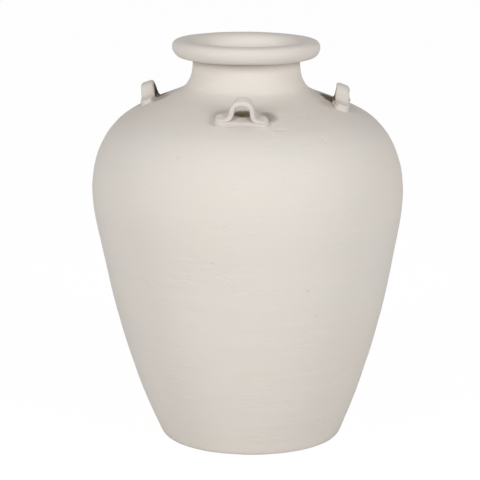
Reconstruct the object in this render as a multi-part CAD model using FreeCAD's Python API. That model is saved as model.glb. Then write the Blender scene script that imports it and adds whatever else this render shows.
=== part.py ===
import FreeCAD, Part
import math
import os
from FreeCAD import Vector

# A large storage jar of unglazed clay, built up from a floor slab and four wall courses, with a waisted
# neck, a rolled rim and four strap lugs on the shoulder.
# Millimetres. The origin is the middle of the base, +Z is up, and -Y is the side that faces the viewer.

# Overall sizes of the jar. The belly drop is the way down from the neck's root to the widest part.
jar_height = 560.0
belly_radius = 217.4
belly_drop = 144.5
base_radius = 124.0
base_edge_rounding = 6.0
wall_thickness = 12.0
floor_thickness = 16.0

# Neck and rim, whose widths are counted outwards from the throat. The flare is how far the neck's root
# stands out past its waist, and the insets are the widths of the roundings on the outside of the rim.
throat_radius = 65.0
throat_lower_rounding = 5.0
neck_height = 34.0
neck_thickness = 11.4
neck_flare = 9.6
rim_height = 31.5
rim_thickness = 39.2
ledge_inner_rounding = 8.0
ledge_outer_inset = 11.2
rim_shoulder_drop = 10.0
rim_side_height = 8.0
rim_foot_inset = 10.7
rim_undercut_rise = 4.0

# Heights of the courses on the outside, of which the lower wall takes what is left, the rise of the seams
# through the wall, and the coil in the corner of the floor
shoulder_course_height = 71.5
upper_course_height = 133.0
middle_course_height = 140.0
seam_rise = 8.0
seam_coil_size = 15.0

# Lugs: a strap bent into an arch, with its feet thumbed down on a thin pad
strap_width = 20.0
strap_thickness = 7.5
strap_rounding = 2.0
lug_height = 26.5
eye_width = 21.0
foot_reach = 36.0
foot_thickness = 4.5
foot_tip_thickness = 3.0
foot_tip_rounding = 8.0
leg_foot_rounding = 6.0
pad_thickness = 4.0
pad_margin = 2.5
pad_corner_rounding = 9.0
lug_lean_degrees = 10.0

# Where each lug stands: its bearing, which is 0 in front and grows to the right, and the middle of its
# foot as a share of the belly radius
lug_names = ["front", "right", "back", "left"]
lug_bearings_degrees = [-2.2, 80.0, 173.0, -98.0]
lug_radius_shares = [0.681, 0.616, 0.644, 0.616]

# The outside below the belly: shares of the height up to the belly, and of the way out from the base
# radius to the belly radius
lower_outline_shares = [(0.0, 0.0), (0.10, 0.176), (0.33, 0.484), (0.57, 0.726), (0.82, 0.910)]

# The outside from the belly up: shares of the height from belly to neck root, and of the way out from
# the root radius to the belly radius
upper_outline_shares = [
    (0.0, 1.0),
    (0.260, 0.968),
    (0.409, 0.915),
    (0.559, 0.830),
    (0.689, 0.712),
    (0.799, 0.576),
    (0.888, 0.330),
    (0.958, 0.116),
    (1.0, 0.0),
]

# The outside of the neck: shares of the height from root to rim, and of the way out from the waist
# radius to the root radius
neck_outline_shares = [(0.0, 1.0), (0.28, 0.36), (0.70, 0.0), (1.0, 0.03)]

# How far a seam's cutting line runs on past the wall, as a share of its way through it, and how deep the
# corner coil's face is hollowed, as a share of its size
seam_overrun_share = 0.5
coil_hollow_share = 0.32

outline_stations = 48
full_turn_degrees = 360
lug_sector_degrees = 60
rim_underside_height = jar_height - rim_height
neck_root_height = rim_underside_height - neck_height
belly_height = neck_root_height - belly_drop
shoulder_seam_height = neck_root_height - shoulder_course_height
upper_seam_height = shoulder_seam_height - upper_course_height
middle_seam_height = upper_seam_height - middle_course_height
neck_waist_radius = throat_radius + neck_thickness
neck_root_radius = neck_waist_radius + neck_flare
rim_radius = throat_radius + rim_thickness
rim_foot_radius = rim_radius - rim_foot_inset
clear_radius = belly_radius + rim_radius
sole_depth = pad_thickness + foot_thickness
axis_foot = Vector(0, 0, 0)
across = Vector(1, 0, 0)
uphill = Vector(0, 1, 0)
up = Vector(0, 0, 1)


def place(radius, height):
    """A point of the half section, which lies in the plane of the axis and +X."""
    return Vector(radius, 0, height)


def outline_points(shares, low_height, high_height, inner_radius, outer_radius):
    """Points of an outline from its shares of a height and of a widening."""
    points = []
    for height_share, radius_share in shares:
        height = low_height + height_share * (high_height - low_height)
        points.append(place(inner_radius + radius_share * (outer_radius - inner_radius), height))
    return points


def smooth_curve(points):
    curve = Part.BSplineCurve()
    curve.interpolate(points)
    return curve


def body_outline():
    """The outside of the body, from the base up to the root of the neck."""
    lower = outline_points(lower_outline_shares, 0, belly_height, base_radius, belly_radius)
    upper = outline_points(
        upper_outline_shares, belly_height, neck_root_height, neck_root_radius, belly_radius
    )
    return smooth_curve(lower + upper)


def neck_outline():
    """The outside of the neck, from its root up to the underside of the rim."""
    points = outline_points(
        neck_outline_shares, neck_root_height, rim_underside_height, neck_waist_radius, neck_root_radius
    )
    return smooth_curve(points)


def offset_outline(curve, distance):
    """The curve moved outwards by a distance, square to itself. A negative distance moves it inwards."""
    points = []
    for station in range(outline_stations + 1):
        share = station / outline_stations
        parameter = curve.FirstParameter + share * (curve.LastParameter - curve.FirstParameter)
        along = curve.tangent(parameter)[0]
        outwards = Vector(along.z, 0, -along.x)
        points.append(curve.value(parameter) + outwards * distance)
    return smooth_curve(points)


def meeting_point(curve, start, end):
    """Where a curve of the half section crosses a straight line."""
    gap, nearest, details = curve.toShape().distToShape(Part.makeLine(start, end))
    return nearest[0][0]


def point_at(curve, height):
    return meeting_point(curve, place(0, height), place(clear_radius, height))


def section(curve, corners):
    """A face of the half section: one curve, then straight runs from its end through the corners."""
    edges = [curve.toShape()]
    stops = [curve.value(curve.LastParameter)] + corners + [curve.value(curve.FirstParameter)]
    for start, end in zip(stops[:-1], stops[1:]):
        edges.append(Part.makeLine(start, end))
    return Part.Face(Part.Wire(edges))


def flat_shape(points):
    return Part.Face(Part.makePolygon(points + points[:1]))


def turned(face):
    """The solid that a face of the half section sweeps in one turn about the axis."""
    return face.revolve(axis_foot, up, full_turn_degrees)


def front_sector(face):
    """The same sweep, but only over the front of the jar."""
    start_degrees = -(full_turn_degrees / 4 + lug_sector_degrees / 2)
    return face.rotated(axis_foot, up, start_degrees).revolve(axis_foot, up, lug_sector_degrees)


def filled_section(outline):
    """The half section of the body as if it were not hollow."""
    top = outline.value(outline.LastParameter)
    bottom = outline.value(outline.FirstParameter)
    return section(outline, [place(0, top.z), place(0, bottom.z)])


def level_line(height):
    return [place(clear_radius, height), place(0, height)]


def above_belly(filled):
    """The part of a filled half section above the widest part of the jar, where the lugs stand."""
    band = flat_shape(level_line(belly_height) + level_line(jar_height)[::-1])
    return filled.common(band).Faces[0]


def hollow_section(inner_outline):
    """The half section of the hollow, from the floor up through the throat."""
    throat = flat_shape([
        place(0, 0),
        place(throat_radius, 0),
        place(throat_radius, jar_height),
        place(0, jar_height),
    ])
    above_floor = flat_shape(level_line(floor_thickness) + level_line(jar_height)[::-1])
    return filled_section(inner_outline).fuse(throat).common(above_floor)


def seam_line(outline, inner_outline, height):
    """The seam that starts at a height outside and rises through the wall, run on past both faces."""
    outer = point_at(outline, height)
    inner = point_at(inner_outline, height + seam_rise)
    before = outer + (outer - inner) * seam_overrun_share
    behind = inner + (inner - outer) * seam_overrun_share
    return [place(clear_radius, before.z), before, behind, place(0, behind.z)]


def between(whole, lower_line, upper_line):
    """The part of a half section that lies between two lines, swept round the axis."""
    band = flat_shape(lower_line + upper_line[::-1])
    return turned(whole.common(band).Faces[0])


def lowest_edge(edges):
    """The lowest of some level edges, and of two at one height the longer."""
    return min(edges, key=lambda edge: (edge.BoundBox.ZMax, -edge.Length))


def floor_slab(filled):
    slab = between(filled, level_line(0), level_line(floor_thickness))
    return slab.makeFillet(base_edge_rounding, [lowest_edge(slab.Edges)])


def floor_seam_coil(inner_outline, hollow):
    """A coil smoothed into the inside corner of floor and wall, so its face is hollow."""
    corner = point_at(inner_outline, floor_thickness)
    head = point_at(inner_outline, floor_thickness + seam_coil_size)
    toe = corner - across * seam_coil_size
    middle = corner + ((toe - corner) + (head - corner)) * coil_hollow_share
    into_wall = across * wall_thickness
    face = Part.Arc(head, middle, toe)
    blank = Part.Face(Part.Wire([
        face.toShape(),
        Part.makeLine(toe, corner + into_wall),
        Part.makeLine(corner + into_wall, head + into_wall),
        Part.makeLine(head + into_wall, head),
    ]))
    return turned(blank.common(hollow).Faces[0])


def shoulder(wall, lower_line):
    """The course that turns in to the neck, with the lower edge of the throat rounded off."""
    ring = between(wall, lower_line, level_line(neck_root_height))
    reach = throat_radius + throat_lower_rounding
    throat_edges = [edge for edge in ring.Edges if edge.BoundBox.XMax < reach]
    return ring.makeFillet(throat_lower_rounding, [lowest_edge(throat_edges)])


def neck(outline):
    inside_top = place(throat_radius, rim_underside_height)
    inside_foot = place(throat_radius, neck_root_height)
    return turned(section(outline, [inside_top, inside_foot]))


def rounded_corner(start, corner, end):
    """A quarter of a circle or an ellipse that leaves start and meets end without a kink."""
    curve = Part.BezierCurve()
    curve.setPoles([start, corner, end])
    curve.setWeight(2, math.cos(math.pi / 4))
    return curve.toShape()


def rim(outline):
    """A thick roll with a flat ledge on top, rounded sides and a sloping underside."""
    neck_top = outline.value(outline.LastParameter)
    undercut_slope = rim_undercut_rise / (rim_foot_radius - neck_top.x)
    throat_foot = place(throat_radius, rim_underside_height)
    throat_top = place(throat_radius, jar_height - ledge_inner_rounding)
    ledge_inside = place(throat_radius + ledge_inner_rounding, jar_height)
    ledge_outside = place(rim_radius - ledge_outer_inset, jar_height)
    side_top = place(rim_radius, jar_height - rim_shoulder_drop)
    side_foot = side_top - up * rim_side_height
    foot = place(rim_foot_radius, rim_underside_height + rim_undercut_rise)
    foot_corner = place(rim_radius, rim_underside_height + undercut_slope * (rim_radius - neck_top.x))
    edges = [
        Part.makeLine(throat_foot, throat_top),
        rounded_corner(throat_top, place(throat_radius, jar_height), ledge_inside),
        Part.makeLine(ledge_inside, ledge_outside),
        rounded_corner(ledge_outside, place(rim_radius, jar_height), side_top),
        Part.makeLine(side_top, side_foot),
        rounded_corner(side_foot, foot_corner, foot),
        Part.makeLine(foot, neck_top),
        Part.makeLine(neck_top, throat_foot),
    ]
    return turned(Part.Face(Part.Wire(edges)))


def lug_seat(radius, outline):
    """The move from a lug's own frame, with +Y uphill and +Z off the clay, to the front of the shoulder."""
    foot = meeting_point(outline, place(radius, belly_height), place(radius, jar_height))
    along = outline.tangent(outline.parameter(foot))[0]
    slope_degrees = math.degrees(math.atan2(along.z, -along.x))
    return FreeCAD.Placement(Vector(0, -radius, foot.z), FreeCAD.Rotation(across, slope_degrees))


def mirrored(point):
    return Vector(-point.x, point.y, point.z)


def arch_geometry():
    """Middle and radius of the arch, and middle of the fillet between its right side and the foot."""
    arch_radius = eye_width / 2 + strap_thickness
    centre = place(0, lug_height - arch_radius)
    fillet_height = pad_thickness + foot_thickness + leg_foot_rounding
    reach = arch_radius + leg_foot_rounding
    fillet_centre = place(math.sqrt(reach ** 2 - (fillet_height - centre.z) ** 2), fillet_height)
    return centre, arch_radius, fillet_centre


def strap_face():
    """The strap seen through its eye: two feet, a fillet up to each side of the arch, and the arch."""
    centre, arch_radius, fillet_centre = arch_geometry()
    eye_radius = eye_width / 2
    to_fillet = (fillet_centre - centre).normalize()
    to_middle = (to_fillet + up).normalize()
    leg = centre + to_fillet * arch_radius
    fillet_middle = fillet_centre - to_middle * leg_foot_rounding
    foot_start = fillet_centre - up * leg_foot_rounding
    tip = place(foot_reach, pad_thickness + foot_tip_thickness)
    sole = place(foot_reach, -sole_depth)
    eye_sole = place(eye_radius, -sole_depth)
    eye_side = place(eye_radius, centre.z)
    edges = [Part.Arc(leg, centre + up * arch_radius, mirrored(leg)).toShape()]
    edges.append(Part.Arc(mirrored(eye_side), centre + up * eye_radius, eye_side).toShape())
    for side in (Vector, mirrored):
        foot = [side(point) for point in (foot_start, tip, sole, eye_sole, eye_side)]
        edges.append(Part.Arc(side(leg), side(fillet_middle), side(foot_start)).toShape())
        edges += [Part.makeLine(start, end) for start, end in zip(foot[:-1], foot[1:])]
    return Part.Face(Part.Wire(Part.__sortEdges__(edges)))


def strap_blank():
    """The bent strap before it is set on the shoulder, leaning uphill, with round toes and soft edges."""
    face = strap_face().rotated(axis_foot, across, -lug_lean_degrees)
    strap = face.translated(uphill * (-strap_width / 2)).extrude(uphill * strap_width)
    toe_edges = []
    for edge in strap.Edges:
        at_the_toe = abs(edge.CenterOfMass.x) > foot_reach - strap_rounding
        if at_the_toe and edge.BoundBox.ZLength > pad_thickness:
            toe_edges.append(edge)
    strap = strap.makeFillet(foot_tip_rounding, toe_edges)
    lean = math.tan(math.radians(lug_lean_degrees))
    side_edges = []
    for edge in strap.Edges:
        middle = edge.CenterOfMass
        from_side = abs(abs(middle.y - middle.z * lean) - strap_width / 2)
        if middle.z > 0 and from_side < strap_rounding:
            side_edges.append(edge)
    return strap.makeFillet(strap_rounding, side_edges)


def pad_blank():
    """A block with the outline of the pad, which the thin layer over the shoulder is cut from."""
    half_length = foot_reach + pad_margin
    half_width = strap_width / 2 + pad_margin
    corner = Vector(-half_length, -half_width, -sole_depth)
    block = Part.makeBox(half_length * 2, half_width * 2, sole_depth * 2, corner)
    upright_edges = [edge for edge in block.Edges if edge.BoundBox.ZLength > sole_depth]
    return block.makeFillet(pad_corner_rounding, upright_edges)


def build():
    outline = body_outline()
    inner_outline = offset_outline(outline, -wall_thickness)
    filled = filled_section(outline)
    hollow = hollow_section(inner_outline)
    wall = filled.cut(hollow)
    seams = [level_line(floor_thickness)]
    for height in (middle_seam_height, upper_seam_height, shoulder_seam_height):
        seams.append(seam_line(outline, inner_outline, height))
    collar = neck_outline()
    pieces = {
        "floor_slab": floor_slab(filled),
        "floor_seam_coil": floor_seam_coil(inner_outline, hollow),
        "lower_wall": between(wall, seams[0], seams[1]),
        "middle_wall": between(wall, seams[1], seams[2]),
        "upper_wall": between(wall, seams[2], seams[3]),
        "shoulder": shoulder(wall, seams[3]),
        "neck": neck(collar),
        "rim": rim(collar),
    }
    padded = above_belly(filled_section(offset_outline(outline, pad_thickness)))
    body_under_straps = front_sector(padded)
    pad_layer = front_sector(padded.cut(filled).Faces[0])
    strap = strap_blank()
    pad = pad_blank()
    for name, bearing_degrees, radius_share in zip(lug_names, lug_bearings_degrees, lug_radius_shares):
        seat = lug_seat(radius_share * belly_radius, outline).Matrix
        seated_strap = strap.transformed(seat).cut(body_under_straps)
        seated_pad = pad.transformed(seat).common(pad_layer)
        pieces["lug_" + name + "_strap"] = seated_strap.rotated(axis_foot, up, bearing_degrees)
        pieces["lug_" + name + "_pad"] = seated_pad.rotated(axis_foot, up, bearing_degrees)
    return pieces


os.makedirs("parts", exist_ok=True)
for node, shape in build().items():
    solids = shape.Solids
    shape = solids[0] if len(solids) == 1 else Part.Compound(solids)
    shape.exportStep("parts/" + node + ".step")
    print(node, len(solids), shape.isValid(), round(shape.Volume))
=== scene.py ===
import bpy
import math
from mathutils import Matrix, Vector


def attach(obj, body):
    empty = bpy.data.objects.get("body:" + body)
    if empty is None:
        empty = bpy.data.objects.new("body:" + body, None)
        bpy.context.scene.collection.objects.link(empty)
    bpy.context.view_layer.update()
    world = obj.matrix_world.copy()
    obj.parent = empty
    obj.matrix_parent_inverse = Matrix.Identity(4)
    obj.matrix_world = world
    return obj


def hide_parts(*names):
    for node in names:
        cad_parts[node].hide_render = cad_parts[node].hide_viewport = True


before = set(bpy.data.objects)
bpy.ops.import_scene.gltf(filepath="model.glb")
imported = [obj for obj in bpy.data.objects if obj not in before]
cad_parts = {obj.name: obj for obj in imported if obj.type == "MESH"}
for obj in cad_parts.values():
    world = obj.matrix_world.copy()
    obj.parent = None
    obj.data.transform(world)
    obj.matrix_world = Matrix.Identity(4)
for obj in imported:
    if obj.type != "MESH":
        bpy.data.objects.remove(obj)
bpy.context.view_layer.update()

# A storage jar of unglazed off-white clay, thrown in courses, with four strap lugs on its shoulder.
# Lengths are written in millimetres and made metres by MM. Those of the camera and the studio are in metres,
# and a texture's scale is in features to the metre. -Y faces the viewer, +X is the viewer's right. Bearings
# run in degrees from -Y towards +X.
MM = 0.001
QUARTER_TURN = math.pi / 2

# The photograph's camera
IMAGE_PIXELS = 480
SENSOR_MM = 36
CAMERA_PLACE = (0.0, -3.0445, 0.9353)
CAMERA_AIM = (0.0, 0.0, 0.2773)
FOCAL_PIXELS = 2213.2
AXIS_PIXEL = 247.9

# The jar's half section, drawn ring by ring as (radius, height): up the outside from the middle of the
# base, over the rim, and down the inside to the middle of the floor
BASE_RINGS = [(60, 0), (100, 0), (118, 0), (123.4, 0.8), (126.6, 3.4), (129.2, 9), (132.2, 16)]
BODY_RINGS = [
    (138.3, 30), (144.6, 45), (150.5, 60), (155.9, 75), (161.1, 90), (165.9, 105), (170.6, 120),
    (175.1, 135), (179.3, 150), (183.6, 166), (187.7, 182), (191.5, 198), (195.0, 214), (198.2, 230),
    (201.3, 246), (204.3, 262), (207.3, 278), (210.2, 293), (213.1, 308), (215.4, 323), (216.9, 338),
    (217.4, 352), (216.8, 366), (215.0, 380), (211.7, 394), (206.9, 408), (199.9, 423),
]
SHOULDER_RINGS = [
    (190.7, 436.8), (179.3, 449.0), (168.3, 457.6), (155.0, 465.3), (140.0, 471.9), (126.5, 477.4),
    (113.6, 482.6), (101.5, 487.0), (92.4, 491.0), (86.0, 494.4),
]
NECK_RINGS = [(80.8, 501.5), (77.0, 509.5), (75.2, 518), (74.6, 526), (74.7, 534.4), (75.6, 536.9)]
RIM_RINGS = [
    (78.4, 537.4), (84.0, 537.2), (90.2, 536.8), (94.4, 537.3), (97.4, 539.3), (99.9, 542.3),
    (101.9, 546.0), (102.9, 550.0), (102.6, 554.0), (101.0, 557.2), (97.8, 559.4), (93.0, 560.4),
    (87.4, 560.6), (82.0, 560.3), (76.8, 559.1), (72.2, 556.4), (68.8, 552.0), (66.6, 546.2), (65.4, 539.6),
]
THROAT_RINGS = [(65, 532), (65, 520), (65, 505), (65, 492), (65.6, 486.4), (68.6, 483.3), (75, 482.3)]
INSIDE_RINGS = [
    (84, 481.6), (97.5, 477), (110.9, 472), (125.4, 467), (143.6, 461), (157.2, 454), (170.0, 442.5),
    (185.8, 423), (198.0, 396), (204.2, 367), (204.8, 338), (200.8, 308), (194.6, 275), (187.6, 238),
    (179.2, 198), (169.1, 158), (158.0, 120), (146.2, 83), (134.6, 52), (125.1, 30), (120.0, 19.4),
    (117.4, 16), (112, 16), (90, 16), (50, 16),
]
FIRST_RADIUS = 30
ROUND_SEGMENTS = 68

# Where the courses end, and the corner coil's rings
SEAMS = {
    "floor_slab": (None, 20.0),
    "lower_wall": (20.0, 150.0),
    "middle_wall": (150.0, 290.0),
    "upper_wall": (290.0, 423.0),
    "shoulder": (423.0, 494.5),
    "neck": (494.5, 528.5),
    "rim": (528.5, None),
}
COIL_RINGS = [
    (119.6, 15.6), (103.6, 15.6), (104.6, 17.0), (109.8, 18.6), (115.6, 21.2), (120.6, 25.4), (124.4, 30.6),
    (126.4, 31.0),
]
SEAM_SMOOTH_ANGLE = 50

# The jar leans to one side below its rim, sways round its axis, and its shoulder and rim are tipped
JAR_HEIGHT = 560
BASE_LEAN = 6.5
LEAN_BACK = 2.2
SWAY = 5.0
SWAY_RADIUS = 200
SHOULDER_TIP = -0.013
SHOULDER_TIP_HEIGHTS = (450, 490)
RIM_TIP = 0.006
RIM_TIP_HEIGHTS = (505, 530)

# The hand-made unevenness of the wall and the lugs: how deep, and the scales of textures that differ
# across and up
LUMP_DEPTH = 1.3
PRESS_DEPTH = 0.5
RIDGE_DEPTH = 0.9
PIT_DEPTH = 0.6
STROKE_DEPTH = 0.3
DENT_DEPTH = 1.3
GRAIN_DEPTH = 0.35
PRESS_SCALES = (24.0, 24.0, 50.0)
WIDE_RIDGE_SCALES = (3.0, 3.0, 70.0)
FINE_RIDGE_SCALES = (6.0, 6.0, 260.0)
STROKE_SCALES = (14.0, 14.0, 60.0)
SCRAPE_SCALES = (46.0, 46.0, 190.0)
PATCH_SCALES = (9.0, 9.0, 22.0)
SWAY_SCALES = (4.0, 4.0, 2.4)

# Small marks on the outer wall, each at a bearing, a height and the wall's radius there. A pit has a half
# length, a half height and a strength; a scrape has a half length and a half height. A mark covers only
# what lies within the skin's two depths from that radius, so that it stays off the inside.
PITS = [
    (23.2, 248, 201.7, 3.4, 2.2, 0.8), (23.2, 221, 196.4, 2.4, 1.6, 0.45),
    (28.0, 210.5, 194.2, 2.6, 2.0, 0.7), (-13.0, 289, 209.4, 2.4, 2.2, 0.8),
    (-6.0, 256, 203.2, 2.6, 2.0, 0.4), (-5.0, 390, 212.6, 3.0, 1.8, 0.35),
    (-8.2, 341, 217.0, 3.6, 1.8, 0.4), (4.8, 345.5, 217.2, 2.4, 1.7, 0.35),
    (6.5, 358.5, 217.1, 2.0, 1.5, 0.3), (-27.8, 425.5, 198.2, 3.8, 2.0, 0.5),
    (-29.5, 156.5, 181.0, 2.6, 1.6, 0.35), (-41.8, 246.5, 201.4, 1.6, 3.6, 0.4),
    (53.0, 259.5, 203.8, 1.6, 3.0, 0.4),
]
SCRAPES = [
    (16.0, 460, 164.2, 9.0, 1.6), (33.2, 449, 179.3, 6.0, 1.5), (34.4, 444.5, 183.5, 3.0, 2.6),
    (34.8, 247.5, 201.6, 5.0, 1.6), (25.0, 245, 201.5, 5.0, 1.4),
]
MARK_SKIN = (9, 5)
PIT_SCALE = 42.0
SCATTERED_PIT_STRENGTH = 0.7
PLACED_SCRAPE_STRENGTH = 2.0

# The clay's colours, and how strongly each mark covers the clay
OUTER_CLAY = {
    "light": (0.770, 0.722, 0.662, 1),
    "warm": (0.760, 0.700, 0.635, 1),
    "grey": (0.715, 0.690, 0.650, 1),
}
SPECK_COLOUR = (0.50, 0.44, 0.38, 1)
PIT_COLOUR = (0.40, 0.36, 0.31, 1)
SCRAPE_COLOUR = (0.86, 0.82, 0.76, 1)
# painted light on the neck and in the mouth
PAINTED_LIGHT_COLOUR = (0.935, 0.890, 0.830, 1)
# painted shade and painted shadows round the lugs, and the darker band on the shoulder
SHADE_AND_DARKENING_COLOUR = (0.38, 0.335, 0.315, 1)
# painted shade in the corner under the rim
RIM_SHADE_COLOUR = (0.30, 0.24, 0.19, 1)
# painted shade and dirt in each lug's eye and just behind it
EYE_SHADE_AND_DIRT_COLOUR = (0.18, 0.135, 0.083, 1)
CLOUD_SHARE = 0.8
PATCH_SHARE = 0.45
RIDGE_SHARE = 0.18
SPECK_SHARE = 0.14
PIT_SHARE = 0.25
SCRAPE_SHARE = 0.16
# how strongly shade is painted on the clay round each lug
LUG_SHADE_SHARE = 0.30
# how much darker the top of the shoulder is
SHOULDER_DARK_SHARE = 0.09
# how strongly shade and dirt are painted in the lugs' eyes
EYE_SHADE_AND_DIRT_SHARE = 0.94
# how strongly light is painted on the neck
NECK_PAINTED_LIGHT_SHARE = 0.25
# how strongly shade is painted under the rim: its dark line and its softer shade
RIM_SHADE_LINE_SHARE = 0.25
RIM_SOFT_SHADE_SHARE = 0.20
ROUGHNESS = 0.86
SHEEN = 0.18
GRAIN_RELIEF = 0.6
GRAIN_STRENGTH = 0.35

# Where the colour changes with the height, each from and to in soft steps, and with the distance from the
# axis, from the middle plane or from the corner under the rim
# a darker band over the top of the shoulder
SHOULDER_DARK_BAND = ((425, 455), (480, 492))
# painted light on the neck and in the mouth: its heights, radii and sides
NECK_BAND = ((486, 502), (528, 532))
MOUTH_BAND = ((440, 480), (540, 558))
MOUTH_LIP_SHARE = 0.6
MOUTH_RADII = (66.5, 76)
MOUTH_SIDES = (32, 60)
MOUTH_SIDE_SHARE = 0.55
# painted shade in the corner under the rim: where it centres, and how far its line and its softer shade reach
UNDERCUT = (76.0, 535.8)
RIM_SHADE_LINE_REACH = (1.5, 5.0)
RIM_SOFT_SHADE_REACH = (3, 17)


class Value:
    """A socket of a node tree. A sum or product of such values writes its own nodes."""

    def __init__(self, board, socket):
        self.board = board
        self.socket = socket

    def math(self, operation, *others):
        inputs = {place: value for place, value in enumerate((self,) + others)}
        return self.board.node("ShaderNodeMath", {"operation": operation}, inputs)

    def vector(self, operation, other, place=1):
        inputs = {0: self, place: other}
        return self.board.node("ShaderNodeVectorMath", {"operation": operation}, inputs)

    def __add__(self, other):
        return self.math("ADD", other)

    __radd__ = __add__

    def __mul__(self, other):
        return self.math("MULTIPLY", other)

    __rmul__ = __mul__

    def __sub__(self, other):
        return self.math("SUBTRACT", other)

    def __rsub__(self, other):
        return (self * -1) + other

    def __truediv__(self, other):
        return self.math("DIVIDE", other)

    def __pow__(self, other):
        return self.math("POWER", other)


class Board:
    """A node tree that is being wired, for a material or for a shaping modifier."""

    def __init__(self, tree):
        self.tree = tree

    def node(self, kind, settings=None, inputs=None, output=0):
        made = self.tree.nodes.new(kind)
        for name, setting in (settings or {}).items():
            setattr(made, name, setting)
        for name, value in (inputs or {}).items():
            if isinstance(value, Value):
                self.tree.links.new(value.socket, made.inputs[name])
            else:
                made.inputs[name].default_value = value
        return Value(self, made.outputs[output])

    def split(self, vector):
        made = self.node("ShaderNodeSeparateXYZ", inputs={0: vector}).socket.node
        return [Value(self, socket) for socket in made.outputs]

    def join(self, x, y, z):
        return self.node("ShaderNodeCombineXYZ", inputs={0: x, 1: y, 2: z})

    def stretched(self, point, scales):
        return point.vector("MULTIPLY", scales)

    def noise(self, point, scale, detail=2.0, roughness=0.5):
        """Even noise about zero, from about -0.5 to 0.5."""
        inputs = {"Vector": point, "Scale": scale, "Detail": detail, "Roughness": roughness}
        return self.node("ShaderNodeTexNoise", inputs=inputs) - 0.5

    def cells(self, point, scale, output="Distance"):
        inputs = {"Vector": point, "Scale": scale}
        return self.node("ShaderNodeTexVoronoi", inputs=inputs, output=output)

    def ramp(self, value, low, high, to_low=0.0, to_high=1.0):
        """A smooth step from one value to another."""
        inputs = {"Value": value, "From Min": low, "From Max": high, "To Min": to_low, "To Max": to_high}
        return self.node("ShaderNodeMapRange", {"interpolation_type": "SMOOTHSTEP"}, inputs)

    def step(self, length, span, to_low=0.0, to_high=1.0):
        """A smooth step over a span of lengths, which are given in millimetres."""
        low, high = span
        return self.ramp(length, low * MM, high * MM, to_low, to_high)

    def band(self, height, spans, above=0.0):
        """1 between two heights, with a soft step up from 0 below and one down to a value above."""
        start, end = spans
        return self.step(height, start) * self.step(height, end, 1.0, above)

    def blend(self, share, first, second):
        """One colour run into another."""
        made = self.node("ShaderNodeMix", {"data_type": "RGBA"}).socket.node
        for place, value in ((0, share), (6, first), (7, second)):
            if isinstance(value, Value):
                self.tree.links.new(value.socket, made.inputs[place])
            else:
                made.inputs[place].default_value = value
        return Value(self, made.outputs[2])


def throwing_lines(board, point):
    """Fine level ridges left by the fingers as the jar turned."""
    wide = board.noise(board.stretched(point, WIDE_RIDGE_SCALES), 1.0, 2.0)
    fine = board.noise(board.stretched(point, FINE_RIDGE_SCALES), 1.0, 1.0)
    return wide * 0.75 + fine * 0.25


def from_axis(board, point):
    """How far a point lies from the jar's axis."""
    x, y, _ = board.split(point)
    return (x * x + y * y) ** 0.5


def distance_along(board, point, direction):
    """How far a point lies along a direction."""
    return Value(board, point.vector("DOT_PRODUCT", direction).socket.node.outputs["Value"])


def spot(board, point, bearing, height, radius, half_length, half_height):
    """1 on one small place of the outer wall and 0 elsewhere."""
    turn = math.radians(bearing)
    outward = distance_along(board, point, (math.sin(turn), -math.cos(turn), 0))
    run = distance_along(board, point, (math.cos(turn), math.sin(turn), 0)) / (half_length * MM)
    rise = (board.split(point)[2] - height * MM) / (half_height * MM)
    near = board.ramp(run * run + rise * rise, 0.2, 1.0, 1.0, 0.0)
    return near * board.step(outward, [radius - depth for depth in MARK_SKIN])


def pits(board, point):
    """Small holes where grit dragged out, placed and scattered: 1 in a pit, 0 elsewhere."""
    near = board.cells(point, PIT_SCALE)
    chosen = board.cells(point, PIT_SCALE, "Color")
    few = board.ramp(board.split(chosen)[0], 0.90, 0.97)
    holes = board.ramp(near, 0.04, 0.10, 1.0, 0.0) * few * SCATTERED_PIT_STRENGTH
    for *place, strength in PITS:
        holes = (spot(board, point, *place) * strength).math("MAXIMUM", holes)
    return holes


def smears(board, point):
    """Short wiped strokes, long and level."""
    streak = board.noise(board.stretched(point, STROKE_SCALES), 1.0, 3.0, 0.6)
    return board.ramp(streak, 0.12, 0.24)


def nicks(board, point):
    """Short level scrapes and smoothing marks, in loose patches."""
    scrape = board.noise(board.stretched(point, SCRAPE_SCALES), 1.0, 2.0, 0.6)
    patch = board.noise(point, 14.0, 1.0)
    marks = board.ramp(scrape, 0.07, 0.20) * board.ramp(patch, -0.02, 0.14)
    for place in SCRAPES:
        marks = spot(board, point, *place) * PLACED_SCRAPE_STRENGTH + marks
    return marks


def hand_lean(board, point):
    """How far the hand-made jar leans, tips and sways from a true one, as a move of each point."""
    x, y, z = board.split(point)
    drop = (1.0 - z.math("MINIMUM", JAR_HEIGHT * MM) / (JAR_HEIGHT * MM)).math("MAXIMUM", 0.0) ** 1.5
    lean = drop * (BASE_LEAN * MM) - LEAN_BACK * MM
    shoulder_tip = board.step(z, SHOULDER_TIP_HEIGHTS) * SHOULDER_TIP
    rim_tip = board.step(z, RIM_TIP_HEIGHTS) * RIM_TIP
    sway = board.noise(board.stretched(point, SWAY_SCALES), 1.0, 0.0) * (SWAY * MM)
    round_x, round_y = x / (SWAY_RADIUS * MM) * sway, y / (SWAY_RADIUS * MM) * sway
    return board.join(lean + round_x, round_y, x * (shoulder_tip + rim_tip))


def shaping(name, write):
    """A shaping modifier's node group, whose steps a function writes."""
    group = bpy.data.node_groups.new(name, "GeometryNodeTree")
    group.interface.new_socket(name="Geometry", in_out="INPUT", socket_type="NodeSocketGeometry")
    group.interface.new_socket(name="Geometry", in_out="OUTPUT", socket_type="NodeSocketGeometry")
    board = Board(group)
    mesh = board.node("NodeGroupInput")
    point = board.node("GeometryNodeInputPosition")
    normal = board.node("GeometryNodeInputNormal")
    move = write(board, point, normal)
    shaped = board.node("GeometryNodeSetPosition", inputs={"Geometry": mesh, "Offset": move})
    last = group.nodes.new("NodeGroupOutput")
    group.links.new(shaped.socket, last.inputs[0])
    return group


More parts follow.
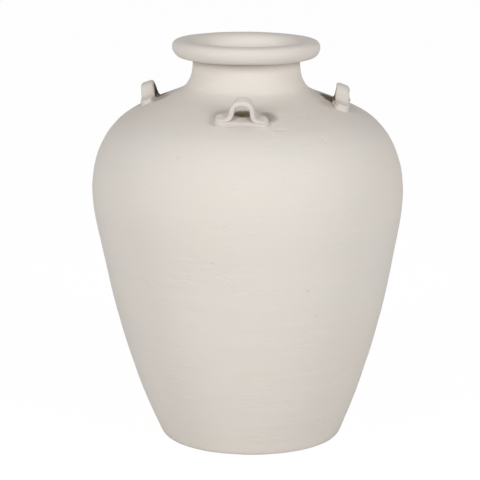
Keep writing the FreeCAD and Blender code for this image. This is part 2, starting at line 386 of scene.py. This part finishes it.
def wall_shape(board, point, normal):
    """The thrown wall: lean, soft lumps, finger ridges, pits and wiped strokes."""
    lumps = board.noise(point, 13.0, 2.0) * (LUMP_DEPTH * MM)
    presses = board.noise(board.stretched(point, PRESS_SCALES), 1.0, 1.0) * (PRESS_DEPTH * MM)
    ridges = throwing_lines(board, point) * (RIDGE_DEPTH * MM)
    holes = pits(board, point) * (-PIT_DEPTH * MM)
    strokes = smears(board, point) * (-STROKE_DEPTH * MM)
    relief = lumps + presses + ridges + holes + strokes
    return normal.vector("SCALE", relief, "Scale").vector("ADD", hand_lean(board, point))


def lug_shape(board, point, normal):
    """Clay that was pressed on by hand: small dents, and the jar's own lean."""
    dents = board.noise(point, 75.0, 1.0) * (DENT_DEPTH * MM)
    grain = board.noise(point, 260.0, 1.0) * (GRAIN_DEPTH * MM)
    return normal.vector("SCALE", dents + grain, "Scale").vector("ADD", hand_lean(board, point))


def apply_modifier(piece, kind, **settings):
    modifier = piece.modifiers.new(kind.lower(), kind)
    for name, value in settings.items():
        setattr(modifier, name, value)
    bpy.context.view_layer.objects.active = piece
    bpy.ops.object.modifier_apply(modifier=modifier.name)


def smooth(piece, levels):
    """Rounds the piece by subdividing it."""
    apply_modifier(piece, "SUBSURF", levels=levels, render_levels=levels)


def deselect():
    bpy.ops.object.select_all(action="DESELECT")


def take_up(piece):
    """Selects the piece alone and makes it the one worked on."""
    deselect()
    piece.select_set(True)
    bpy.context.view_layer.objects.active = piece


def named(name):
    """Names the piece just added."""
    piece = bpy.context.object
    piece.name = name
    piece.data.name = name
    return piece


def settle(piece):
    """Puts the piece's place, turn and size into its mesh."""
    take_up(piece)
    bpy.ops.object.transform_apply(location=True, rotation=True, scale=True)


def first_circle(name, height, fill):
    """The small circle at a height that rings are drawn out from, left in edit mode."""
    deselect()
    bpy.ops.mesh.primitive_circle_add(
        vertices=ROUND_SEGMENTS, radius=FIRST_RADIUS * MM, fill_type=fill, location=(0, 0, height * MM),
    )
    piece = named(name)
    bpy.ops.object.mode_set(mode="EDIT")
    return piece


def draw_up(rings, last_height):
    """Draws the selected edge up through the rings, each a radius and a height."""
    last_radius = FIRST_RADIUS
    for radius, height in rings:
        rise = (height - last_height) * MM
        bpy.ops.mesh.extrude_region_move(TRANSFORM_OT_translate={"value": (0, 0, rise)})
        grow = radius / last_radius
        bpy.ops.transform.resize(value=(grow, grow, 1), center_override=(0, 0, height * MM))
        last_radius, last_height = radius, height


def face_outward():
    """Turns every face of the piece in edit mode outward, and leaves edit mode."""
    bpy.ops.mesh.select_all(action="SELECT")
    bpy.ops.mesh.normals_make_consistent(inside=False)
    bpy.ops.object.mode_set(mode="OBJECT")


def thrown_jar():
    """The whole jar in one closed skin, drawn up ring by ring from a disc."""
    jar = first_circle("thrown_jar", 0, "TRIFAN")
    bpy.ops.mesh.select_mode(type="EDGE")
    bpy.ops.mesh.select_all(action="SELECT")
    bpy.ops.mesh.region_to_loop()
    outside = BASE_RINGS + BODY_RINGS + SHOULDER_RINGS + NECK_RINGS
    draw_up(outside + RIM_RINGS + THROAT_RINGS + INSIDE_RINGS, 0)
    bpy.ops.mesh.extrude_region_move()
    bpy.ops.mesh.merge(type="CENTER")
    face_outward()
    smooth(jar, 3)
    apply_modifier(jar, "NODES", node_group=shaping("thrown wall", wall_shape))
    bpy.ops.object.shade_smooth()
    return jar


def course(jar, name, low, high):
    """One course of the jar, cut out between two level seams and closed."""
    take_up(jar)
    bpy.ops.object.duplicate()
    piece = named(name)
    bpy.ops.object.mode_set(mode="EDIT")
    for height, below in ((low, True), (high, False)):
        if height is not None:
            bpy.ops.mesh.select_all(action="SELECT")
            bpy.ops.mesh.bisect(
                plane_co=(0, 0, height * MM), plane_no=(0, 0, 1), use_fill=True,
                clear_inner=below, clear_outer=not below, threshold=1e-6,
            )
    bpy.ops.object.mode_set(mode="OBJECT")
    bpy.ops.object.shade_smooth_by_angle(angle=math.radians(SEAM_SMOOTH_ANGLE))
    return piece


def corner_coil():
    """The coil smoothed into the inside corner of floor and wall: rings drawn up and joined into a loop."""
    coil = first_circle("floor_corner_coil", COIL_RINGS[0][1], "NOTHING")
    bpy.ops.mesh.select_all(action="SELECT")
    draw_up(COIL_RINGS, COIL_RINGS[0][1])
    choose(coil, "VERT", lambda point, _: math.hypot(point.x, point.y) < FIRST_RADIUS + 1)
    bpy.ops.mesh.delete(type="VERT")
    bpy.ops.mesh.select_mode(type="EDGE")
    bpy.ops.mesh.select_all(action="DESELECT")
    bpy.ops.mesh.select_non_manifold()
    bpy.ops.mesh.bridge_edge_loops()
    face_outward()
    smooth(coil, 2)
    apply_modifier(coil, "NODES", node_group=shaping("coil shape", lug_shape))
    return coil


# Lugs. A strap's stations run from its middle to its toe: how far along, how wide and how thick it is.
# Its path is the line that it is bent along, as (across, height off the clay), from toe to toe.
STRAP_STATIONS = [
    (0, 16.2, 4.8), (9, 16.4, 5.3), (17, 17.4, 6.3), (24, 19.2, 6.9), (30, 21.6, 6.6), (36, 23.6, 5.4),
    (42, 23.2, 4.6), (46.5, 19.4, 4.0),
]
STRAP_END = (50.0, 12.0, 2.6)
STRAP_HALF_PATH = [
    (-34.4, 4.3), (-29, 4.9), (-24.0, 5.2), (-16.8, 6.2), (-13.5, 12.8), (-13.1, 23.0), (0, 26.8),
]
STRAP_EDGE = 1.7
STRAP_CROSS_CUTS = (-4, 4)
THUMB_PRESS = 0.9
THUMB_PLACE = (33, 44)
THUMB_HALF_WIDTH = 6
BROAD_TO = 36
BROAD_FADE = 18
PAD_SIZE = (72, 25, 11)
PAD_TOP = 4.0
PAD_CORNER = 9.0
PAD_LIP = 3.2
PAD_CUTS = (-28, -18, -9, 0, 9, 18, 28)
PAD_CROSS_CUTS = (-6, 0, 6)
ARCH_FOOT = 8.0

# How a flat lug is bent: where its clay starts to rise, over what height the arch takes its shape, how far
# its back and front lie from its middle line, where its legs are slimmed, how its crown is domed, and how
# the shoulder falls away across it, by so much to the metre squared
CLAY_TOP = 5.5
ARCH_RISE = (5, 15)
ARCH_BACK = 8
ARCH_FRONT = 12
LEG_REACH = (8, 28)
DOME_HALF_WIDTH = 8
SHOULDER_FALL = 1.3

# Painted shade and dirt round a lug, in places given as (across, uphill, off the clay): in its eye, painted
# shadows beside its feet, and painted shade on the clay round it
EYE_SHADE_AND_DIRT_EDGE = 3
# painted cast shadows beside a lug's feet, each a place with its share, and how far they reach
FOOT_SHADOWS = (((-31, 19, 0), 0.26), ((33, 17, 0), 0.68))
FOOT_SHADOW_REACH = (8, 18)
# painted shade on the clay round each lug: where it centres, and how far it reaches
LUG_SHADE_PLACE = (0, 13.5, 2)
LUG_SHADE_REACH = (12, 44)
RAGGED = 5

# Each lug stands at a bearing, with its foot on the shoulder at (radius, height) where the clay has a slope.
# It leans uphill, twists, skews and flares, rolls to one side, and is turned on its foot. Its arch is tall
# and wide, its strap broad, its left and right legs slimmed. Its painted shade and dirt lie round places in
# the eye.
LUGS = {
    "front": {
        "bearing": -2.45, "foot": (148.05, 470.6), "slope": 24.0, "lean": 17.0, "twist": 0.05, "skew": 0.08,
        "flare": -8.0, "roll": 2.6, "turn": 0.0, "tall": 1.06, "wide": 1.0, "broad": 1.0,
        "slim": (0.18, 0.0), "eye_shade_and_dirt": ((-3, 15.5, 0), (1.5, 16.0, 0)), "eye_shade_and_dirt_reach": 14.0,
    },
    "right": {
        "bearing": 80.0, "foot": (132.0, 476.4), "slope": 21.5, "lean": 17.0, "twist": -0.03, "skew": 0.0,
        "flare": 0.0, "roll": 0.0, "turn": 7.0, "tall": 0.90, "wide": 1.02, "broad": 1.13,
        "slim": (0.12, 0.0), "eye_shade_and_dirt": ((2, 12, 2), (15, 17, 0)), "eye_shade_and_dirt_reach": 15.5,
    },
    "back": {
        "bearing": 173.0, "foot": (140.01, 471.8), "slope": 22.5, "lean": 14.0, "twist": 0.04, "skew": 0.06,
        "flare": 4.0, "roll": -1.5, "turn": -3.0, "tall": 1.0, "wide": 0.98, "broad": 1.07,
        "slim": (0.05, 0.0), "eye_shade_and_dirt": ((-4, 14, 0), (5, 14, 0)), "eye_shade_and_dirt_reach": 14.0,
    },
    "left": {
        "bearing": -98.0, "foot": (133.92, 473.2), "slope": 21.5, "lean": 8.5, "twist": 0.02, "skew": 0.0,
        "flare": -4.0, "roll": 1.0, "turn": 4.0, "tall": 0.84, "wide": 1.0, "broad": 1.10,
        "slim": (0.12, 0.20), "eye_shade_and_dirt": ((-3, 9.5, 7), (4, 9.5, 2)), "eye_shade_and_dirt_reach": 13.5,
    },
}


def block(name, size, centre):
    """A block of clay at its size and place, ready to be shaped in edit mode."""
    deselect()
    bpy.ops.mesh.primitive_cube_add(size=1)
    piece = named(name)
    bpy.ops.object.mode_set(mode="EDIT")
    bpy.ops.mesh.select_all(action="SELECT")
    bpy.ops.transform.resize(value=[length * MM for length in size])
    bpy.ops.transform.translate(value=[length * MM for length in centre])
    return piece


def choose(piece, mode, test):
    """Selects, in edit mode, the points or edges that pass a test of their middle and run, in millimetres."""
    bpy.ops.mesh.select_mode(type="VERT")
    bpy.ops.mesh.select_all(action="DESELECT")
    bpy.ops.mesh.select_mode(type=mode)
    bpy.ops.object.mode_set(mode="OBJECT")
    points = piece.data.vertices
    if mode == "VERT":
        for vertex in points:
            vertex.select = test(vertex.co / MM, None)
    else:
        for edge in piece.data.edges:
            first, second = (points[index].co / MM for index in edge.vertices)
            edge.select = test((first + second) / 2, second - first)
    bpy.ops.object.mode_set(mode="EDIT")


def cut_across(places, direction):
    """Cuts the whole piece at level places along a direction, to give it points to shape."""
    for place in places:
        bpy.ops.mesh.select_all(action="SELECT")
        bpy.ops.mesh.bisect(plane_co=Vector(direction) * (place * MM), plane_no=direction)


def strap_path(name, tall):
    """The line that a strap is bent along, in the plane that the eye is seen in."""
    shape = bpy.data.curves.new(name, "CURVE")
    shape.dimensions = "2D"
    shape.resolution_u = 24
    line = shape.splines.new("NURBS")
    right_half = [(-x, height) for x, height in STRAP_HALF_PATH[-2::-1]]
    points = STRAP_HALF_PATH + right_half
    line.points.add(len(points) - 1)
    for point, (x, height) in zip(line.points, points):
        rise = height if height < ARCH_FOOT else ARCH_FOOT + (height - ARCH_FOOT) * tall
        point.co = (x * MM, rise * MM, 0, 1)
    line.order_u = 4
    line.use_endpoint_u = True
    path = bpy.data.objects.new(name, shape)
    bpy.context.collection.objects.link(path)
    return path


def bent_strap(name, tall, broad):
    """A flat strap with soft edges and thumbed toes, bent up into an arch."""
    _, full_width, full_thickness = STRAP_STATIONS[0]
    strap = block(name, (STRAP_END[0] * 2, full_thickness, full_width), (0, 0, 0))
    choose(strap, "EDGE", lambda middle, run: abs(run.x) > 1)
    bpy.ops.mesh.bevel(offset=STRAP_EDGE * MM, segments=2)
    places = [side * station[0] for station in STRAP_STATIONS for side in (1, -1)]
    cut_across(sorted(set(places)), (1, 0, 0))
    cut_across(STRAP_CROSS_CUTS, (0, 0, 1))
    for along, width, thickness in STRAP_STATIONS + [STRAP_END]:
        spread = 1 + (broad - 1) * min(1, max(0, (BROAD_TO - along) / BROAD_FADE))
        sizes = (1, thickness / full_thickness, spread * width / full_width)
        for side in (1, -1):
            place = along * side
            choose(strap, "VERT", lambda point, _: abs(point.x - place) < 0.1)
            bpy.ops.transform.resize(value=sizes, center_override=(place * MM, 0, 0))
    near, far = THUMB_PLACE
    choose(strap, "VERT", lambda point, _: (
        near < abs(point.x) < far and point.y > 1 and abs(point.z) < THUMB_HALF_WIDTH
    ))
    bpy.ops.transform.translate(value=(0, -THUMB_PRESS * MM, 0))
    bpy.ops.object.mode_set(mode="OBJECT")
    smooth(strap, 3)
    path = strap_path(name + "_path", tall)
    path.data.use_stretch = True
    path.data.use_deform_bounds = True
    apply_modifier(strap, "CURVE", object=path, deform_axis="POS_X")
    bpy.data.objects.remove(path)
    strap.rotation_euler = (QUARTER_TURN, 0, 0)
    settle(strap)
    return strap


def pressed_pad(name):
    """The thin patch of clay under a lug, with round corners and a soft lip."""
    pad = block(name, PAD_SIZE, (0, 0, PAD_TOP - PAD_SIZE[2] / 2))
    choose(pad, "EDGE", lambda middle, run: abs(run.z) > 1)
    bpy.ops.mesh.bevel(offset=PAD_CORNER * MM, segments=5)
    choose(pad, "EDGE", lambda middle, run: middle.z > PAD_TOP - 0.1 and abs(run.z) < 0.1)
    bpy.ops.mesh.bevel(offset=PAD_LIP * MM, segments=3)
    cut_across(PAD_CUTS, (1, 0, 0))
    cut_across(PAD_CROSS_CUTS, (0, 1, 0))
    bpy.ops.object.mode_set(mode="OBJECT")
    smooth(pad, 2)
    return pad


def set_on_shoulder(piece, lug):
    """Leans and twists a flat-made lug piece, sets it on the shoulder and turns it to its bearing."""

    def lug_bend(board, point, normal):
        x, y, z = board.split(point)
        rise = (z - CLAY_TOP * MM).math("MAXIMUM", 0.0)
        arch = board.step(z, ARCH_RISE)
        back = (y + ARCH_BACK * MM) * arch
        across = rise * lug["twist"] + back * lug["skew"] + x * back * lug["flare"]
        uphill = rise * math.tan(math.radians(lug["lean"]))
        fall = x * x * -SHOULDER_FALL - x * math.tan(math.radians(lug["roll"]))
        (near, far), (left, right) = LEG_REACH, lug["slim"]
        slim_left = board.step(x, (-far, -near), left, 0.0)
        slim_right = board.step(x, (near, far), 0.0, right)
        narrow = (slim_left + slim_right) * (y + ARCH_FRONT * MM) * -1
        off_middle = y * y * (1 / (DOME_HALF_WIDTH * MM) ** 2)
        domed = off_middle * off_middle * arch * -MM
        return board.join(across + x * (lug["wide"] - 1), uphill + narrow, fall + domed)

    apply_modifier(piece, "NODES", node_group=shaping(piece.name + " bend", lug_bend))
    piece.matrix_world = lug_place(lug)
    settle(piece)
    apply_modifier(piece, "NODES", node_group=shaping(piece.name + " shape", lug_shape))
    take_up(piece)
    bpy.ops.object.shade_smooth()


def lug_place(lug):
    """Where a lug stands: a matrix from the flat lug's own place to the shoulder."""
    radius, height = lug["foot"]
    turn = Matrix.Rotation(math.radians(lug["bearing"]), 4, "Z")
    slope = Matrix.Rotation(math.radians(lug["slope"]), 4, "X")
    own_turn = Matrix.Rotation(math.radians(lug["turn"]), 4, "Z")
    return turn @ Matrix.Translation((0, -radius * MM, height * MM)) @ slope @ own_turn


def nearness(board, point, lug, place, near, far):
    """1 close to a place on a lug and 0 beyond it, with a ragged edge."""
    centre = lug_place(lug) @ (Vector(place) * MM)
    distance = point.vector("DISTANCE", centre).socket.node.outputs["Value"]
    ragged = Value(board, distance) + board.noise(point, 150.0, 3.0, 0.65) * (RAGGED * MM)
    return board.step(ragged, (near, far), 1.0, 0.0)


def lug_shade_and_dirt(board, point):
    """Painted shade and dirt in each lug's eye, painted shadows beside its feet and painted shade on the clay
    round it.
    """
    eye, foot_shadows, lug_shade = 0.0, 0.0, 0.0
    for lug in LUGS.values():
        near, far = lug["eye_shade_and_dirt_reach"] - EYE_SHADE_AND_DIRT_EDGE, lug["eye_shade_and_dirt_reach"] + EYE_SHADE_AND_DIRT_EDGE
        for place in lug["eye_shade_and_dirt"]:
            eye = nearness(board, point, lug, place, near, far).math("MAXIMUM", eye)
        for place, share in FOOT_SHADOWS:
            foot_shadows = nearness(board, point, lug, place, *FOOT_SHADOW_REACH) * share + foot_shadows
        lug_shade = nearness(board, point, lug, LUG_SHADE_PLACE, *LUG_SHADE_REACH) + lug_shade
    return eye, foot_shadows, lug_shade


def shoulder_darkening(board, point):
    """A darker band over the top of the shoulder."""
    return board.band(board.split(point)[2], SHOULDER_DARK_BAND)


def undercut_shade(board, point):
    """Painted shade in the corner under the rim, round the neck: a dark line, and a softer shade beyond it.
    """
    off_radius = from_axis(board, point) - UNDERCUT[0] * MM
    off_height = board.split(point)[2] - UNDERCUT[1] * MM
    off = (off_radius * off_radius + off_height * off_height) ** 0.5
    line = board.step(off, RIM_SHADE_LINE_REACH, RIM_SHADE_LINE_SHARE, 0.0)
    return line + board.step(off, RIM_SOFT_SHADE_REACH, RIM_SOFT_SHADE_SHARE, 0.0)


def painted_light(board, point):
    """Painted light: paler clay on the neck below the rim, and in the mouth, most at its back and front."""
    x, _, z = board.split(point)
    across = board.step((x * x) ** 0.5, MOUTH_SIDES, 1.0, MOUTH_SIDE_SHARE)
    mouth = board.step(from_axis(board, point), MOUTH_RADII, 1.0, 0.0) * across
    neck = board.band(z, NECK_BAND) * (1 - mouth) * NECK_PAINTED_LIGHT_SHARE
    return mouth * board.band(z, MOUTH_BAND, MOUTH_LIP_SHARE) + neck


def clay(name, light, warm, grey):
    """Unglazed off-white clay: soft mottling, wiped streaks, dusty pits and a fine dry grain, with painted
    light on the neck and in the mouth, and painted shade round the lugs and under the rim.
    """
    material = bpy.data.materials.new(name)
    material.use_nodes = True
    board = Board(material.node_tree)
    shader = material.node_tree.nodes["Principled BSDF"]
    point = board.node("ShaderNodeTexCoord", output=3)
    cloud = board.ramp(board.noise(point, 6.0, 3.0, 0.55), -0.22, 0.22)
    patch = board.ramp(board.noise(board.stretched(point, PATCH_SCALES), 1.0, 4.0, 0.6), -0.15, 0.30)
    lines = board.ramp(throwing_lines(board, point), -0.25, 0.30)
    speck = board.ramp(board.noise(point, 420.0, 2.0), 0.10, 0.32)
    hole = pits(board, point)
    scrape = nicks(board, point)
    eye, foot_shadows, lug_shade = lug_shade_and_dirt(board, point)
    # painted shade round the lugs, painted shadows beside their feet, and a darker band on the shoulder
    shade_and_darkening = lug_shade * LUG_SHADE_SHARE + foot_shadows + shoulder_darkening(board, point) * SHOULDER_DARK_SHARE
    colour = board.blend(cloud * CLOUD_SHARE, light, warm)
    colour = board.blend(patch * PATCH_SHARE, colour, grey)
    colour = board.blend(lines * RIDGE_SHARE, colour, grey)
    colour = board.blend(speck * SPECK_SHARE, colour, SPECK_COLOUR)
    colour = board.blend(hole * PIT_SHARE, colour, PIT_COLOUR)
    colour = board.blend(scrape * SCRAPE_SHARE, colour, SCRAPE_COLOUR)
    # painted light on the neck and in the mouth, palest at the mouth's back and front
    colour = board.blend(painted_light(board, point), colour, PAINTED_LIGHT_COLOUR)
    # painted shade and shadows round the lugs, and the darker shoulder band
    colour = board.blend(shade_and_darkening, colour, SHADE_AND_DARKENING_COLOUR)
    # painted shade in the corner under the rim
    colour = board.blend(undercut_shade(board, point), colour, RIM_SHADE_COLOUR)
    # painted shade and dirt in each lug's eye and just behind it
    colour = board.blend(eye * EYE_SHADE_AND_DIRT_SHARE, colour, EYE_SHADE_AND_DIRT_COLOUR)
    rough = ROUGHNESS + board.noise(point, 90.0, 2.0) * 0.12 + speck * 0.06
    grain = board.noise(point, 900.0, 3.0, 0.65) * 0.35 + board.noise(point, 240.0, 3.0, 0.6) * 0.65
    relief = grain + throwing_lines(board, point) * 0.8 - hole * 0.8 - scrape * 1.3
    settings = {"Height": relief, "Strength": GRAIN_STRENGTH, "Distance": GRAIN_RELIEF * MM}
    bump = board.node("ShaderNodeBump", inputs=settings)
    links = material.node_tree.links
    links.new(colour.socket, shader.inputs["Base Color"])
    links.new(rough.socket, shader.inputs["Roughness"])
    links.new(bump.socket, shader.inputs["Normal"])
    shader.inputs["Specular IOR Level"].default_value = SHEEN
    return material


def dress(piece, material, *nodes):
    """Gives the piece its clay, hangs it on the root body, and hides the imported pieces of the given nodes.
    """
    piece.data.materials.clear()
    piece.data.materials.append(material)
    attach(piece, "root")
    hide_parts(*nodes)


def build_jar():
    jar = thrown_jar()
    outer = clay("outer clay", **OUTER_CLAY)
    for node, (low, high) in SEAMS.items():
        piece = course(jar, "jar_" + node, low, high)
        dress(piece, outer, node)
    bpy.data.objects.remove(jar)
    dress(corner_coil(), outer, "floor_seam_coil")
    for side, lug in LUGS.items():
        strap = bent_strap(f"{side}_lug", lug["tall"], lug["broad"])
        pad = pressed_pad(f"{side}_lug_bed")
        for piece, part in ((strap, "strap"), (pad, "pad")):
            set_on_shoulder(piece, lug)
            dress(piece, outer, f"lug_{side}_{part}")


def camera():
    data = bpy.data.cameras.new("photo camera")
    data.lens = FOCAL_PIXELS / IMAGE_PIXELS * SENSOR_MM
    data.sensor_width = SENSOR_MM
    data.shift_x = (IMAGE_PIXELS / 2 - AXIS_PIXEL) / IMAGE_PIXELS
    data.clip_end = 100
    eye = bpy.data.objects.new("photo camera", data)
    bpy.context.collection.objects.link(eye)
    eye.location = CAMERA_PLACE
    look = Vector(CAMERA_AIM) - Vector(CAMERA_PLACE)
    eye.rotation_euler = look.to_track_quat("-Z", "Y").to_euler()
    bpy.context.scene.camera = eye


# The studio: a grey sky that the camera sees white, a pale floor, and a softbox on each side
SKY_GREY = (0.390, 0.390, 0.392, 1)
WHITE = (1, 1, 1, 1)
FLOOR_SIZE = 24
FLOOR_COLOUR = (0.86, 0.86, 0.86, 1)
FLOOR_GLOW = 1.035
FLOOR_GLOW_SHARE = 0.93
SOFTBOX_BEARING = 40
SOFTBOX_ELEVATION = 22
SOFTBOX_DISTANCE = 3.2
SOFTBOX_WIDTH = 0.5
SOFTBOX_HEIGHT = 1.4
SOFTBOX_WATTS = 34.6
SOFTBOX_AIM = (0, 0, 0.30)


def softbox(name, bearing):
    """A tall soft lamp at a bearing, aimed at the jar's middle."""
    data = bpy.data.lights.new(name, "AREA")
    data.shape = "RECTANGLE"
    data.size = SOFTBOX_WIDTH
    data.size_y = SOFTBOX_HEIGHT
    data.energy = SOFTBOX_WATTS
    lamp = bpy.data.objects.new(name, data)
    bpy.context.collection.objects.link(lamp)
    turn, lift = math.radians(bearing), math.radians(SOFTBOX_ELEVATION)
    back = Vector((math.sin(turn) * math.cos(lift), -math.cos(turn) * math.cos(lift), math.sin(lift)))
    lamp.location = Vector(SOFTBOX_AIM) + back * SOFTBOX_DISTANCE
    lamp.rotation_euler = (-back).to_track_quat("-Z", "Y").to_euler()


def sky():
    """An even grey light all round, seen as white by the camera, in a shine and through glass."""
    world = bpy.data.worlds.new("studio")
    bpy.context.scene.world = world
    world.use_nodes = True
    tree = world.node_tree
    board = Board(tree)
    tree.nodes.clear()
    rays = board.node("ShaderNodeLightPath").socket.node.outputs
    seen = Value(board, rays["Is Camera Ray"]).math("MAXIMUM", Value(board, rays["Is Transmission Ray"]))
    seen = seen.math("MAXIMUM", Value(board, rays["Is Glossy Ray"]))
    dim = board.node("ShaderNodeBackground", inputs={"Color": SKY_GREY, "Strength": 1.0})
    white = board.node("ShaderNodeBackground", inputs={"Color": WHITE, "Strength": 1.0})
    mixed = board.node("ShaderNodeMixShader", inputs={0: seen, 1: dim, 2: white})
    out = tree.nodes.new("ShaderNodeOutputWorld")
    tree.links.new(mixed.socket, out.inputs["Surface"])


def pale_floor():
    """The floor, which shows the jar's shadow faintly and is otherwise white to the camera."""
    deselect()
    bpy.ops.mesh.primitive_plane_add(size=FLOOR_SIZE)
    floor = named("studio_floor")
    material = bpy.data.materials.new("pale floor")
    material.use_nodes = True
    tree = material.node_tree
    board = Board(tree)
    shader = tree.nodes["Principled BSDF"]
    shader.inputs["Base Color"].default_value = FLOOR_COLOUR
    shader.inputs["Roughness"].default_value = 0.9
    shader.inputs["Specular IOR Level"].default_value = 0.0
    rays = board.node("ShaderNodeLightPath").socket.node.outputs
    glow = board.node("ShaderNodeEmission", inputs={"Color": WHITE, "Strength": FLOOR_GLOW})
    share = Value(board, rays["Is Camera Ray"]) * FLOOR_GLOW_SHARE
    both = board.node("ShaderNodeMixShader", inputs={0: share, 1: Value(board, shader.outputs[0]), 2: glow})
    tree.links.new(both.socket, tree.nodes["Material Output"].inputs["Surface"])
    floor.data.materials.append(material)


def studio():
    sky()
    pale_floor()
    softbox("left softbox", -SOFTBOX_BEARING)
    softbox("right softbox", SOFTBOX_BEARING)


bpy.context.scene.view_settings.view_transform = "Standard"
camera()
build_jar()
studio()
